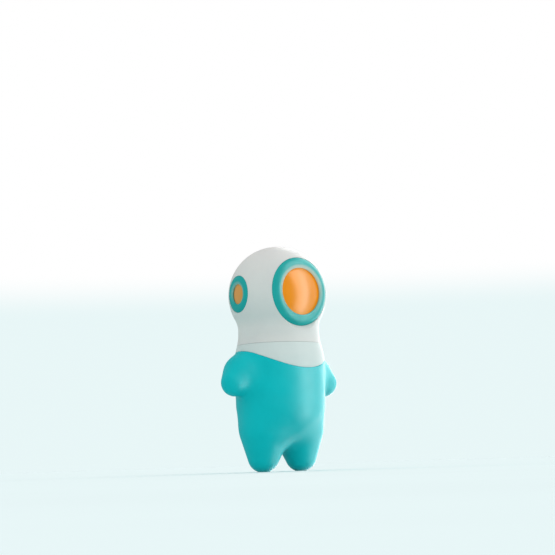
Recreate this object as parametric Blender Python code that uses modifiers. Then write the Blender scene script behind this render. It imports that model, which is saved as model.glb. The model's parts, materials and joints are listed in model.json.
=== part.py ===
"""Floating bath toy: a small round-headed diver whose helmet lights up from inside when it touches water.

Metres, +Z up. The figure stands on its soles at Z = 0 and faces -Y, so its own left hand is at +X.
"""

import math

import bmesh
import bpy
import numpy as np
from mathutils import Matrix, Vector

MM = 0.001
GAP = 0.3 * MM  # left between pieces that touch
AXIS_Y = -1.15 * MM  # the chest reaches less far forward than the dome reaches back, and the box is centred

# Helmet: a thin dome on a waisted neck, plugged into the collar.
HELMET_R = 29.1 * MM
HELMET_Z = 103.9 * MM
HELMET_WALL = 1.8 * MM
NECK_R = 23.9 * MM
NECK_FILLET = 13.0 * MM
SEAM_Z = 74.4 * MM
SPIGOT_R = 21.2 * MM
SPIGOT_BORE = 18.4 * MM
SPIGOT_END = 68.2 * MM
SEAL_Z = 70.9 * MM
SEAL_R = 20.8 * MM
SEAL_THICK = 1.5 * MM

# Round ports. Each looks out from the helmet's centre, turned from the front and lifted by these angles.
# The lip, the crest's rise and the window's crown are heights along that line.
FRONT_PORT = {"ring": 20.1 * MM, "glass": 13.8 * MM, "lip": 22.8 * MM, "crest": 1.25 * MM, "crown": 25.5 * MM}
SIDE_PORT = {"ring": 10.9 * MM, "glass": 5.9 * MM, "lip": 27.4 * MM, "crest": 0.7 * MM, "crown": 27.5 * MM}
PORTS = {
    "front": (0.0, 0.5, FRONT_PORT),
    "side_left": (96.0, 0.0, SIDE_PORT),
    "side_right": (-96.0, 0.0, SIDE_PORT),
}
LIP_THICK = 0.8 * MM
WINDOW_THICK = 1.6 * MM
WINDOW_MARGIN = 1.6 * MM  # hidden under the ring's lip

# Body: one smooth skin over a trunk, two legs and two stub arms. Millimetres, as the skin's formula reads.
CHEST_R = 26.8
WAIST_R = 26.4
NECK_TOP = 81.0
CHEST_Z = 64.0
WAIST_Z = 40.0
HIP = (12.3, 0.0, 24.1)
HIP_R = 14.3
FOOT = (13.9, 0.0, 8.2)
FOOT_R = 8.7
FOOT_DEPTH = 1.15  # the feet are this much deeper than they are wide
SHOULDER = (25.1, 1.8, 56.8)
SHOULDER_R = 12.3
HAND = (33.1, 0.0, 51.9)
HAND_R = 8.1
LEG_BLEND = 3.2
HIP_BLEND = 6.0
ARM_BLEND = 6.0
SUIT_WALL = 2.0

# Collar: the line where it meets the suit is level behind and dips into a bib in front.
BIB_Z = 70.3 * MM
BIB_DROP = 10.9 * MM
BIB_HALF_ANGLE = 98.0
BIB_R = 26.3 * MM
BIB_AXIS_Z = 65.2 * MM
SOCKET_R = 21.9 * MM
SOCKET_FLOOR = 67.8 * MM
SLEEVE_R = 23.2 * MM
SLEEVE_BORE = 20.3 * MM
SLEEVE_END = 54.1 * MM
SHELF_Z = 61.2 * MM
SHELF_THICK = 2.2 * MM
SHELF_BORE = 16.2 * MM

# Battery pod: a tub screwed to the collar's shelf, with three button cells under a screwed cap.
TUB_R = 15.8 * MM
TUB_BORE = 14.2 * MM
TUB_BOTTOM = 49.6 * MM
TUB_FLOOR = 1.6 * MM
FLANGE_R = 20.0 * MM
FLANGE_Z = 62.5 * MM
FLANGE_THICK = 2.0 * MM
TUB_SCREW_R = 18.7 * MM
CAP_R = 17.1 * MM
CAP_THICK = 1.4 * MM
CAP_SCREW_R = 15.8 * MM
SCREW_HEAD_R = 1.3 * MM
SCREW_R = 0.8 * MM
SCREW_HOLE_R = 1.15 * MM
CELL_R = 5.8 * MM
CELL_HEIGHT = 5.4 * MM
CONTACT_THICK = 0.5 * MM
BOARD_R = 11.5 * MM
DOME_R = 13.4 * MM
DOME_WALL = 1.2 * MM

# Water contacts through the back, and the ballast that keeps the toy upright.
PIN_X = 4.5 * MM
PIN_Z = 56.6 * MM
BALLAST_R = 15.0 * MM
BALLAST_Z = 25.0 * MM
BALLAST_HEIGHT = 9.0 * MM
ROD_R = 1.5 * MM


# ---- scene and helpers ----


def clear_scene():
    for obj in list(bpy.data.objects):
        bpy.data.objects.remove(obj, do_unlink=True)


def new_collection(name, helper=False):
    made = bpy.data.collections.new(name)
    bpy.context.scene.collection.children.link(made)
    made.hide_render = helper
    return made


def material(name, colour, roughness=0.5, metallic=0.0, transmission=0.0):
    made = bpy.data.materials.new(name)
    made.use_nodes = True
    shader = made.node_tree.nodes["Principled BSDF"]
    shader.inputs["Base Color"].default_value = (*colour, 1.0)
    shader.inputs["Roughness"].default_value = roughness
    shader.inputs["Metallic"].default_value = metallic
    shader.inputs["Transmission Weight"].default_value = transmission
    made.diffuse_color = (*colour, 1.0)
    return made


def new_axis():
    """The empty on the figure's upright axis that every object hangs from."""
    axis = bpy.data.objects.new("figure_axis", None)
    axis.location = (0.0, AXIS_Y, 0.0)
    toy.objects.link(axis)
    return axis


def add_object(name, mesh, place=None, finish=None):
    """An object of the toy, or a hidden helper when it has no finish. Its place is measured from the axis."""
    obj = bpy.data.objects.new(name, mesh)
    obj.parent = figure_axis
    obj.matrix_local = place or Matrix()
    if finish is None:
        helpers.objects.link(obj)
        obj.hide_render = True
        obj.display_type = "WIRE"
    else:
        toy.objects.link(obj)
        mesh.materials.append(finish)
    return obj


def turned(name, profile, closed, finish=None, place=None, segments=24):
    """A turned piece. The profile holds (radius, height) points that run down its outer side."""
    mesh = bpy.data.meshes.new(name)
    edges = [(i, i + 1) for i in range(len(profile) - 1)]
    if closed:
        edges.append((len(profile) - 1, 0))
    mesh.from_pydata([(radius, 0.0, height) for radius, height in profile], edges, [])
    obj = add_object(name, mesh, place, finish)
    screw = obj.modifiers.new("Turn", "SCREW")
    screw.axis = "Z"
    screw.angle = 2 * math.pi
    screw.steps = segments
    screw.render_steps = segments
    screw.use_merge_vertices = True
    screw.merge_threshold = 1e-5
    screw.use_smooth_shade = False
    return obj


def ring(name, inner, outer, bottom, top, finish, place=None, segments=24):
    section = [(inner, top), (outer, top), (outer, bottom), (inner, bottom)]
    return turned(name, section, True, finish, place, segments)


def disc(name, radius, bottom, top, finish=None, place=None, segments=24):
    return turned(name, [(0.0, top), (radius, top), (radius, bottom), (0.0, bottom)], False, finish, place, segments)


def boolean(obj, operation, other):
    made = obj.modifiers.new(f"{operation.title()} {other.name}", "BOOLEAN")
    made.operation = operation
    made.solver = "EXACT"
    made.object = other


def arc(centre, radius, start, end, steps):
    """Points round a circle in the profile plane, both ends included. Angles in degrees from +radius."""
    points = []
    for i in range(steps + 1):
        angle = math.radians(start + (end - start) * i / steps)
        points.append((centre[0] + radius * math.cos(angle), centre[1] + radius * math.sin(angle)))
    return points


def on_sphere(radius, sphere):
    """The profile point of a sphere round the origin at this distance from the axis."""
    return (radius, math.sqrt(sphere * sphere - radius * radius))


def axis_frame(direction, origin):
    """A matrix whose Z runs along the direction, from the origin."""
    turn = Vector(direction).to_track_quat("Z", "Y").to_matrix().to_4x4()
    return Matrix.Translation(origin) @ turn


def around(radius, degrees, height=0.0):
    angle = math.radians(degrees)
    return Matrix.Translation((radius * math.cos(angle), radius * math.sin(angle), height))


# ---- body skin ----


def smooth_step(t):
    t = np.clip(t, 0.0, 1.0)
    return t * t * (3.0 - 2.0 * t)


def smooth_min(a, b, width):
    mix = np.clip(0.5 + 0.5 * (b - a) / width, 0.0, 1.0)
    return b * (1.0 - mix) + a * mix - width * mix * (1.0 - mix)


def trunk_radius(z):
    """Radius of the round trunk and neck at height z, in millimetres."""
    neck = NECK_R / MM
    widen = (CHEST_R - neck) * smooth_step((NECK_TOP - z) / (NECK_TOP - CHEST_Z))
    narrow = (CHEST_R - WAIST_R) * smooth_step((CHEST_Z - 4.0 - z) / (CHEST_Z - 4.0 - WAIST_Z))
    return neck + widen - narrow


def trunk_distance(points):
    below = np.minimum(points[:, 2] - WAIST_Z, 0.0)
    from_axis = np.hypot(points[:, 0], points[:, 1])
    return np.hypot(from_axis, below) - trunk_radius(points[:, 2])


def limb_distance(points, start, end, start_r, end_r, depth=1.0):
    """Distance to a round cone between two balls."""
    start = np.array(start)
    along = np.array(end) - start
    length = np.linalg.norm(along)
    offset = (points - start) / np.array([1.0, depth, 1.0])
    share = offset @ along / length**2
    aside = np.linalg.norm(offset - share[:, None] * along, axis=1)
    slope = (end_r - start_r) / length
    share = np.clip(share + aside * slope / math.sqrt(1.0 - slope * slope) / length, 0.0, 1.0)
    return np.linalg.norm(offset - share[:, None] * along, axis=1) - (start_r + share * (end_r - start_r))


def skin_distance(points, top):
    """Signed distance from points in millimetres to the body's skin, closed off at the height top."""
    right = points * np.array([-1.0, 1.0, 1.0])
    legs = smooth_min(
        limb_distance(points, FOOT, HIP, FOOT_R, HIP_R, FOOT_DEPTH),
        limb_distance(right, FOOT, HIP, FOOT_R, HIP_R, FOOT_DEPTH),
        LEG_BLEND,
    )
    arms = np.minimum(
        limb_distance(points, SHOULDER, HAND, SHOULDER_R, HAND_R),
        limb_distance(right, SHOULDER, HAND, SHOULDER_R, HAND_R),
    )
    body = smooth_min(trunk_distance(points), legs, HIP_BLEND)
    body = smooth_min(body, arms, ARM_BLEND)
    return np.maximum(body, points[:, 2] - top)


def pull_to_skin(mesh, inset, top):
    """Moves the vertices of a rough body mesh onto the skin, or that far inside it."""
    flat = np.empty(len(mesh.vertices) * 3, np.float32)
    mesh.vertices.foreach_get("co", flat)
    points = flat.reshape(-1, 3).astype(np.float64) / MM
    step = 0.05
    for _ in range(6):
        value = skin_distance(points, top) + inset
        slope = np.empty_like(points)
        for axis in range(3):
            shift = np.zeros(3)
            shift[axis] = step
            slope[:, axis] = (skin_distance(points + shift, top) - skin_distance(points - shift, top)) / (2 * step)
        steepness = np.maximum((slope * slope).sum(axis=1), 0.25)
        points -= (value / steepness)[:, None] * slope
    mesh.vertices.foreach_set("co", (points * MM).astype(np.float32).ravel())
    mesh.update()


def add_ball(rough, centre, radius):
    place = Matrix.Translation(Vector(centre) * MM)
    bmesh.ops.create_uvsphere(rough, u_segments=32, v_segments=16, radius=radius * MM, matrix=place)


def add_limb(rough, start, end, start_r, end_r):
    along = Vector(end) - Vector(start)
    place = axis_frame(along, (Vector(start) + Vector(end)) / 2 * MM)
    bmesh.ops.create_cone(
        rough,
        cap_ends=True,
        segments=32,
        radius1=start_r * MM,
        radius2=end_r * MM,
        depth=along.length * MM,
        matrix=place,
    )
    add_ball(rough, start, start_r)
    add_ball(rough, end, end_r)


def body_mesh(name, inset, top, voxel):
    """The body from primitives, fused into one even mesh and then pulled onto the smooth skin."""
    rough = bmesh.new()
    trunk = WAIST_R - inset
    add_limb(rough, (0.0, 0.0, WAIST_Z), (0.0, 0.0, WAIST_Z + 14.0), trunk, trunk)
    for side in (1.0, -1.0):
        mirror = Vector((side, 1.0, 1.0))
        add_limb(rough, Vector(FOOT) * mirror, Vector(HIP) * mirror, FOOT_R - inset, HIP_R - inset)
        add_limb(rough, Vector(SHOULDER) * mirror, Vector(HAND) * mirror, SHOULDER_R - inset, HAND_R - inset)
    neck = Matrix.Translation((0.0, 0.0, (WAIST_Z + top) / 2 * MM))
    bmesh.ops.create_cone(
        rough,
        cap_ends=True,
        segments=48,
        radius1=trunk * MM,
        radius2=(NECK_R / MM - inset) * MM,
        depth=(top - WAIST_Z) * MM,
        matrix=neck,
    )
    mesh = bpy.data.meshes.new(f"{name}_rough")
    rough.to_mesh(mesh)
    rough.free()
    source = bpy.data.objects.new(f"{name}_rough", mesh)
    helpers.objects.link(source)
    fuse = source.modifiers.new("Fuse", "REMESH")
    fuse.mode = "VOXEL"
    fuse.voxel_size = voxel * MM
    even = source.modifiers.new("Even", "SMOOTH")
    even.factor = 0.5
    even.iterations = 2
    bpy.context.view_layer.update()
    fused = bpy.data.meshes.new_from_object(source.evaluated_get(bpy.context.evaluated_depsgraph_get()))
    bpy.data.objects.remove(source)
    fused.name = name
    pull_to_skin(fused, inset, top)
    return fused


# ---- cutters ----


def cylinder_cutter(name, radius, depth, place, segments=24):
    mesh = bpy.data.meshes.new(name)
    shape = bmesh.new()
    bmesh.ops.create_cone(shape, cap_ends=True, segments=segments, radius1=radius, radius2=radius, depth=depth)
    shape.to_mesh(mesh)
    shape.free()
    return add_object(name, mesh, place)


def box_cutter(name, size, centre):
    mesh = bpy.data.meshes.new(name)
    shape = bmesh.new()
    bmesh.ops.create_cube(shape, size=1.0, matrix=Matrix.Diagonal((*size, 1.0)))
    shape.to_mesh(mesh)
    shape.free()
    return add_object(name, mesh, Matrix.Translation(centre))


def bib_height(degrees):
    """Height of the collar's lower edge, by angle from the front."""
    reach = min(abs(degrees) / BIB_HALF_ANGLE, 1.0)
    return BIB_Z - BIB_DROP * 0.5 * (1.0 + math.cos(math.pi * reach))


def bib_cutter(name, above, shift):
    """A drum on one side of the bib line, its end bent to follow the line where it crosses the body's surface."""
    radius = 2 * BIB_R
    height = 40 * MM
    mesh = bpy.data.meshes.new(name)
    shape = bmesh.new()
    bmesh.ops.create_cone(shape, cap_ends=True, cap_tris=True, segments=48, radius1=radius, radius2=radius, depth=height)
    for vertex in shape.verts:
        bent = vertex.co.z < 0 if above else vertex.co.z > 0
        vertex.co.z += (height if above else -height) / 2 + BIB_AXIS_Z
        if bent and vertex.co.xy.length > radius / 2:
            degrees = math.degrees(math.atan2(vertex.co.x, -vertex.co.y))
            vertex.co.z = BIB_AXIS_Z + (bib_height(degrees) - BIB_AXIS_Z) * radius / BIB_R
    for vertex in shape.verts:
        vertex.co.z += shift
    bmesh.ops.recalc_face_normals(shape, faces=shape.faces)
    shape.to_mesh(mesh)
    shape.free()
    return add_object(name, mesh)


# ---- helmet ----


def helmet_profile():
    """The dome, its concave neck, the spigot with the seal's groove, and the inner wall back up to the crown."""
    reach = NECK_R + NECK_FILLET
    drop = math.sqrt((HELMET_R + NECK_FILLET) ** 2 - reach**2)
    leave = math.degrees(math.asin(drop / (HELMET_R + NECK_FILLET)))
    outer = arc((0.0, HELMET_Z), HELMET_R, 90.0, -leave, 9)
    outer += arc((reach, HELMET_Z - drop), NECK_FILLET, 180.0 - leave, 180.0, 3)[1:]
    for step in range(1, 3):
        z = NECK_TOP + (SEAM_Z / MM + 0.15 - NECK_TOP) * step / 2
        outer.append((float(trunk_radius(z)) * MM, z * MM))
    groove = SEAL_THICK / 2 + GAP
    floor = SEAL_R - SEAL_THICK / 2 - GAP
    seam = SEAM_Z + GAP / 2
    spigot = [
        (SPIGOT_R, seam),
        (SPIGOT_R, SEAL_Z + groove),
        (floor, SEAL_Z + groove),
        (floor, SEAL_Z - groove),
        (SPIGOT_R, SEAL_Z - groove),
        (SPIGOT_R, SPIGOT_END),
        (SPIGOT_BORE, SPIGOT_END),
        (SPIGOT_BORE, 83.0 * MM),
    ]
    inner_r = HELMET_R - HELMET_WALL
    start = math.degrees(math.acos(22.6 * MM / inner_r))
    return outer + spigot + arc((0.0, HELMET_Z), inner_r, -start, 90.0, 7)


def make_helmet():
    shell = turned("helmet_shell", helmet_profile(), False, finishes["helmet"], segments=36)
    for name, (turn, lift, port) in PORTS.items():
        place = port_frame(turn, lift, 25 * MM)
        hole = cylinder_cutter(f"cut_port_{name}", port["ring"] + GAP / 2, 40 * MM, place, port_segments(port))
        boolean(shell, "DIFFERENCE", hole)


def port_segments(port):
    return 36 if port is FRONT_PORT else 24


def port_frame(turn, lift, out=0.0):
    """Z runs out of the helmet's centre through the port; the origin is moved that far out."""
    turn = math.radians(turn)
    lift = math.radians(lift)
    direction = Vector((math.sin(turn) * math.cos(lift), -math.cos(turn) * math.cos(lift), math.sin(lift)))
    return axis_frame(direction, Vector((0.0, 0.0, HELMET_Z)) + direction * out)


def make_port(name, turn, lift, port):
    """A ring plugged into the helmet, the window behind its lip, and the retainer that holds the window."""
    place = port_frame(turn, lift)
    rim = port["ring"] - GAP / 2
    glass = port["glass"]
    pane = glass + WINDOW_MARGIN
    under_lip = port["lip"] - LIP_THICK

    sag = port["crown"] - (under_lip - GAP)
    curve = (glass**2 + sag**2) / (2 * sag)
    middle = (0.0, port["crown"] - curve)
    edge = math.degrees(math.acos(pane / curve))
    back = curve - WINDOW_THICK
    back_edge = math.degrees(math.acos(pane / back))
    window = arc(middle, curve, 90.0, edge, 3) + arc(middle, back, back_edge, 90.0, 2)
    turned(f"{name}_window", window, False, finishes["window"], place)

    keep = middle[1] + math.sqrt(back**2 - pane**2) - 2 * GAP
    retainer = [(glass, keep + 0.8 * MM), (pane, keep), (pane, keep - 0.9 * MM), (glass, keep - 0.9 * MM)]
    turned(f"{name}_retainer", retainer, True, finishes["retainer"], place)

    bezel = []
    outer = on_sphere(rim, HELMET_R - 0.2 * MM)
    for step in range(6):
        share = step / 5
        radius = glass + (rim - glass) * share
        height = port["lip"] + (outer[1] - port["lip"]) * share + port["crest"] * 4 * share * (1 - share)
        bezel.append((radius, height))
    bore = pane + GAP
    bezel += [
        on_sphere(rim, HELMET_R - HELMET_WALL - GAP),
        (bore, keep - 0.9 * MM),
        (bore, under_lip),
        (glass, under_lip),
    ]
    turned(f"{name}_bezel", bezel, True, finishes["bezel"], place, port_segments(port))


def make_neck_seal():
    section = arc((SEAL_R, SEAL_Z), SEAL_THICK / 2, 90.0, -210.0, 5)
    turned("neck_seal", section, True, finishes["rubber"])


# ---- collar and suit ----


def make_collar(pin_holes, screw_holes):
    """An inner sleeve with the helmet's socket and the pod's shelf, joined to the outer band that ends in the bib."""
    top = SEAM_Z - GAP / 2
    shelf_bottom = SHELF_Z - SHELF_THICK
    sleeve = [
        (SLEEVE_R, top - 2.2 * MM),
        (SLEEVE_R, SLEEVE_END),
        (SLEEVE_BORE, SLEEVE_END),
        (SLEEVE_BORE, shelf_bottom),
        (SHELF_BORE, shelf_bottom),
        (SHELF_BORE, SHELF_Z),
        (SLEEVE_BORE, SHELF_Z),
        (SLEEVE_BORE, SOCKET_FLOOR),
        (SOCKET_R, SOCKET_FLOOR),
        (SOCKET_R, top - 2.2 * MM),
    ]
    collar = turned("collar_shell", sleeve, True, finishes["collar"], segments=36)
    lowest = BIB_Z - BIB_DROP - 1.6 * MM
    steps = 4
    band = []
    for i in range(steps + 1):
        z = (top + (lowest - top) * i / steps) / MM
        band.append((float(trunk_radius(z)) * MM, z * MM))
    inner = SOCKET_R + 0.5 * MM
    band += [(inner, lowest), (inner, top)]
    outside = turned("collar_band", band, True, segments=36)
    boolean(outside, "DIFFERENCE", bib_cutter("cut_below_bib", False, GAP / 2))
    boolean(collar, "UNION", outside)
    for hole in pin_holes + screw_holes:
        boolean(collar, "DIFFERENCE", hole)


def make_suit(pin_holes):
    skin = add_object("suit_shell", body_mesh("suit_skin", 0.0, 78.0, 4.6), finish=finishes["suit"])
    hollow = add_object("cut_suit_hollow", body_mesh("suit_hollow", SUIT_WALL, 84.0, 6.0))
    ground = box_cutter("cut_ground", (120 * MM, 120 * MM, 20 * MM), (0.0, 0.0, -10 * MM))
    boolean(skin, "DIFFERENCE", bib_cutter("cut_above_bib", True, -GAP / 2))
    boolean(skin, "DIFFERENCE", hollow)
    boolean(skin, "DIFFERENCE", ground)
    for hole in pin_holes:
        boolean(skin, "DIFFERENCE", hole)


# ---- battery pod ----


def make_screw(name, place, shank):
    """A pan-head screw standing on its seat at the frame's origin."""
    profile = [
        (0.0, 1.2 * MM),
        (SCREW_HEAD_R * 0.7, 1.2 * MM),
        (SCREW_HEAD_R, 0.7 * MM),
        (SCREW_HEAD_R, 0.0),
        (SCREW_R, 0.0),
        (SCREW_R, -shank),
        (0.0, -shank - 0.5 * MM),
    ]
    turned(name, profile, False, finishes["screw"], place, 10)


def make_tub(screw_holes, cap_holes):
    flange_top = FLANGE_Z + FLANGE_THICK
    boss_end = TUB_BOTTOM - 6.0 * MM
    rod_hole = ROD_R + GAP
    profile = [
        (0.0, TUB_BOTTOM + TUB_FLOOR),
        (TUB_BORE, TUB_BOTTOM + TUB_FLOOR),
        (TUB_BORE, flange_top),
        (FLANGE_R, flange_top),
        (FLANGE_R, FLANGE_Z),
        (TUB_R, FLANGE_Z),
        (TUB_R, TUB_BOTTOM),
        (4.0 * MM, TUB_BOTTOM),
        (4.0 * MM, boss_end),
        (rod_hole, boss_end),
        (rod_hole, TUB_BOTTOM - 1.0 * MM),
        (0.0, TUB_BOTTOM - 1.0 * MM),
    ]
    tub = turned("battery_tub", profile, False, finishes["pod"])
    for hole in screw_holes + cap_holes:
        boolean(tub, "DIFFERENCE", hole)
    ring("tub_gasket", SHELF_BORE + 0.2 * MM, TUB_SCREW_R - 1.5 * MM, SHELF_Z + GAP, FLANGE_Z - GAP, finishes["rubber"])
    for i, angle in enumerate((90.0, 210.0, 330.0), start=1):
        make_screw(f"tub_screw_{i}", around(TUB_SCREW_R, angle, flange_top + GAP), 5.4 * MM)


def make_cap(cap_holes):
    flange_top = FLANGE_Z + FLANGE_THICK
    seat = flange_top + GAP
    top = seat + CAP_THICK
    plug = TUB_BORE - 0.4 * MM
    profile = [
        (0.0, top),
        (CAP_R, top),
        (CAP_R, seat),
        (plug, seat),
        (plug, seat - 3.8 * MM),
        (plug - 1.5 * MM, seat - 3.8 * MM),
        (plug - 1.5 * MM, seat - 1.2 * MM),
        (0.0, seat - 1.2 * MM),
    ]
    cap = turned("battery_cap", profile, False, finishes["pod"])
    for hole in cap_holes:
        boolean(cap, "DIFFERENCE", hole)
    for i, angle in enumerate((0.0, 180.0), start=1):
        make_screw(f"cap_screw_{i}", around(CAP_SCREW_R, angle, top + GAP), 2.6 * MM)
    return top


def make_light(seat):
    """The board on the battery cap, with its lamp and chip, under a small diffusing dome."""
    board = seat + GAP
    disc("led_board", BOARD_R, board, board + 1.0 * MM, finishes["board"])
    top = board + 1.0 * MM + GAP
    lamp_r = 2.5 * MM
    lamp = arc((0.0, top + 5.2 * MM), lamp_r, 90.0, 0.0, 3)
    lamp += [(lamp_r, top + 1.0 * MM), (2.9 * MM, top + 1.0 * MM), (2.9 * MM, top), (0.0, top)]
    turned("led_lamp", lamp, False, finishes["lamp"], segments=16)
    chip = bpy.data.meshes.new("control_chip")
    shape = bmesh.new()
    bmesh.ops.create_cube(shape, size=1.0, matrix=Matrix.Diagonal((4.4 * MM, 3.6 * MM, 1.4 * MM, 1.0)))
    shape.to_mesh(chip)
    shape.free()
    add_object("control_chip", chip, Matrix.Translation((6.4 * MM, 0.0, top + 0.7 * MM)), finishes["chip"])
    spring = seat + GAP + 5.0 * MM
    inner = DOME_R - DOME_WALL
    dome = arc((0.0, spring), DOME_R, 90.0, 0.0, 4) + [(DOME_R, seat + GAP), (inner, seat + GAP)]
    dome += arc((0.0, spring), inner, 0.0, 90.0, 4)
    turned("light_dome", dome, False, finishes["diffuser"])


def make_cells():
    floor = TUB_BOTTOM + TUB_FLOOR + GAP
    contact_r = TUB_BORE - 1.3 * MM
    disc("lower_contact", contact_r, floor, floor + CONTACT_THICK, finishes["contact"])
    base = floor + CONTACT_THICK + GAP
    spacing = (2 * CELL_R + GAP) / math.sqrt(3.0)
    for i in range(3):
        profile = [
            (0.0, CELL_HEIGHT),
            (CELL_R - 1.2 * MM, CELL_HEIGHT),
            (CELL_R - 1.0 * MM, CELL_HEIGHT - 0.5 * MM),
            (CELL_R, CELL_HEIGHT - 0.9 * MM),
            (CELL_R, 0.0),
            (0.0, 0.0),
        ]
        turned(f"button_cell_{i + 1}", profile, False, finishes["cell"], around(spacing, 30.0 + 120.0 * i, base), 16)
    top = base + CELL_HEIGHT + GAP
    disc("upper_contact", contact_r, top, top + CONTACT_THICK, finishes["contact"])


# ---- water contacts and ballast ----


def pin_frame(x):
    """Z runs straight back out of the body at a water contact."""
    return axis_frame((0.0, 1.0, 0.0), (x, 0.0, PIN_Z))


def make_pin(side, x):
    place = pin_frame(x)
    head = 27.0 * MM
    shaft_r = 1.0 * MM
    tip = 15.9 * MM
    profile = [
        (0.0, head + 0.8 * MM),
        (1.2 * MM, head + 0.7 * MM),
        (1.9 * MM, head + 0.3 * MM),
        (1.9 * MM, head),
        (shaft_r, head),
        (shaft_r, tip),
        (0.0, tip),
    ]
    turned(f"sensor_pin_{side}", profile, False, finishes["steel"], place, 16)
    ring(f"sensor_washer_{side}", shaft_r + GAP, 2.2 * MM, 18.2 * MM, 19.1 * MM, finishes["rubber"], place, 16)
    ring(f"sensor_nut_{side}", shaft_r + 2 * GAP, 2.3 * MM, 16.2 * MM, 17.9 * MM, finishes["steel"], place, 6)


def make_ballast():
    nut = BALLAST_Z - GAP
    disc("ballast_rod", ROD_R, nut - 2.6 * MM, TUB_BOTTOM - 1.0 * MM - GAP, finishes["steel"], segments=16)
    hole = ROD_R + GAP
    chamfer = 1.0 * MM
    top = BALLAST_Z + BALLAST_HEIGHT
    section = [
        (hole, top),
        (BALLAST_R - chamfer, top),
        (BALLAST_R, top - chamfer),
        (BALLAST_R, BALLAST_Z + chamfer),
        (BALLAST_R - chamfer, BALLAST_Z),
        (hole, BALLAST_Z),
    ]
    turned("ballast_weight", section, True, finishes["ballast"])
    ring("ballast_nut", ROD_R + 2.5 * GAP, 3.6 * MM, nut - 1.8 * MM, nut, finishes["steel"], segments=6)


# ---- the toy ----

clear_scene()
toy = new_collection("light_up_diver_bath_toy")
helpers = new_collection("cutters", helper=True)
figure_axis = new_axis()
finishes = {
    "helmet": material("white_helmet_plastic", (0.72, 0.72, 0.70), 0.45, transmission=0.15),
    "bezel": material("teal_ring_plastic", (0.02, 0.36, 0.36), 0.35),
    "window": material("orange_window_plastic", (0.90, 0.28, 0.02), 0.3, transmission=0.3),
    "retainer": material("white_retainer_plastic", (0.70, 0.70, 0.68), 0.5),
    "rubber": material("black_seal_rubber", (0.03, 0.03, 0.03), 0.7),
    "collar": material("white_collar_plastic", (0.74, 0.76, 0.74), 0.45),
    "suit": material("turquoise_suit_vinyl", (0.01, 0.48, 0.52), 0.55),
    "pod": material("white_pod_plastic", (0.75, 0.75, 0.75), 0.5),
    "screw": material("zinc_screw_steel", (0.60, 0.60, 0.58), 0.3, metallic=1.0),
    "board": material("green_circuit_board", (0.02, 0.16, 0.06), 0.5),
    "lamp": material("clear_lamp_resin", (0.95, 0.75, 0.55), 0.15, transmission=0.6),
    "chip": material("black_chip_resin", (0.02, 0.02, 0.02), 0.4),
    "diffuser": material("milky_diffuser_plastic", (0.85, 0.85, 0.82), 0.5, transmission=0.4),
    "contact": material("nickel_contact_strip", (0.62, 0.60, 0.56), 0.3, metallic=1.0),
    "cell": material("steel_button_cell", (0.65, 0.65, 0.64), 0.22, metallic=1.0),
    "steel": material("stainless_steel", (0.62, 0.62, 0.61), 0.25, metallic=1.0),
    "ballast": material("galvanised_ballast_steel", (0.45, 0.46, 0.47), 0.5, metallic=1.0),
}

pin_cutters = []
for side_name, pin_x in (("left", PIN_X), ("right", -PIN_X)):
    along_pin = pin_frame(pin_x) @ Matrix.Translation((0.0, 0.0, 24.0 * MM))
    pin_cutters.append(cylinder_cutter(f"cut_pin_{side_name}", 1.3 * MM, 14 * MM, along_pin, 16))
    make_pin(side_name, pin_x)
tub_cutters = [
    cylinder_cutter(f"cut_tub_screw_{i}", SCREW_HOLE_R, 12 * MM, around(TUB_SCREW_R, angle, FLANGE_Z - 0.9 * MM), 12)
    for i, angle in enumerate((90.0, 210.0, 330.0), start=1)
]
cap_top = FLANGE_Z + FLANGE_THICK + GAP + CAP_THICK
cap_cutters = [
    cylinder_cutter(f"cut_cap_screw_{i}", SCREW_HOLE_R, 6 * MM, around(CAP_SCREW_R, angle, cap_top), 12)
    for i, angle in enumerate((0.0, 180.0), start=1)
]

make_helmet()
for port_name, port in PORTS.items():
    make_port(port_name, *port)
make_neck_seal()
make_collar(pin_cutters, tub_cutters)
make_suit(pin_cutters)
make_tub(tub_cutters, cap_cutters)
make_light(make_cap(cap_cutters))
make_cells()
make_ballast()
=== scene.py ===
"""Looks of the light-up diver bath toy: fine meshes, materials, camera, floor and light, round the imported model."""

import json
import math

import bmesh
import bpy
import numpy as np
from mathutils import Matrix, Vector


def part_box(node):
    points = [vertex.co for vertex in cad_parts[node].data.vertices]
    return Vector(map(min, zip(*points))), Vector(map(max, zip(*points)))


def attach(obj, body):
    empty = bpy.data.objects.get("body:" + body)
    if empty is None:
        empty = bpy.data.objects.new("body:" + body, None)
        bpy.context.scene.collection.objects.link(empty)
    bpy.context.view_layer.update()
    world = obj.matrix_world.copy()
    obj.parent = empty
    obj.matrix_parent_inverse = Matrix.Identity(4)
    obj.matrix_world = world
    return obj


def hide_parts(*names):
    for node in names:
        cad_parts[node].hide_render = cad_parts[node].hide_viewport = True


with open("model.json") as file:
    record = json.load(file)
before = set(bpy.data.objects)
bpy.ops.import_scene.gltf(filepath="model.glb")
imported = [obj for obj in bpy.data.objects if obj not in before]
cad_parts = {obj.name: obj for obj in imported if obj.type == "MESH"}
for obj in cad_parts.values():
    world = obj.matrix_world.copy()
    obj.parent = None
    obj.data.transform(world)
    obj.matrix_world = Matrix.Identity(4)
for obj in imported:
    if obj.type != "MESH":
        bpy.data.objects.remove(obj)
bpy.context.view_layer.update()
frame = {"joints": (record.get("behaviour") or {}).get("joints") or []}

MM = 0.001
GAP = 0.3  # between pieces that touch; this and all shapes below are in millimetres
FIT = 0.08  # the fine line that shows where two outer pieces meet
EDGE_BREAK = 0.1  # of the two edges at the seam
TUB_FLOOR = 1.6
SCREW_HEAD = 1.2

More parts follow.
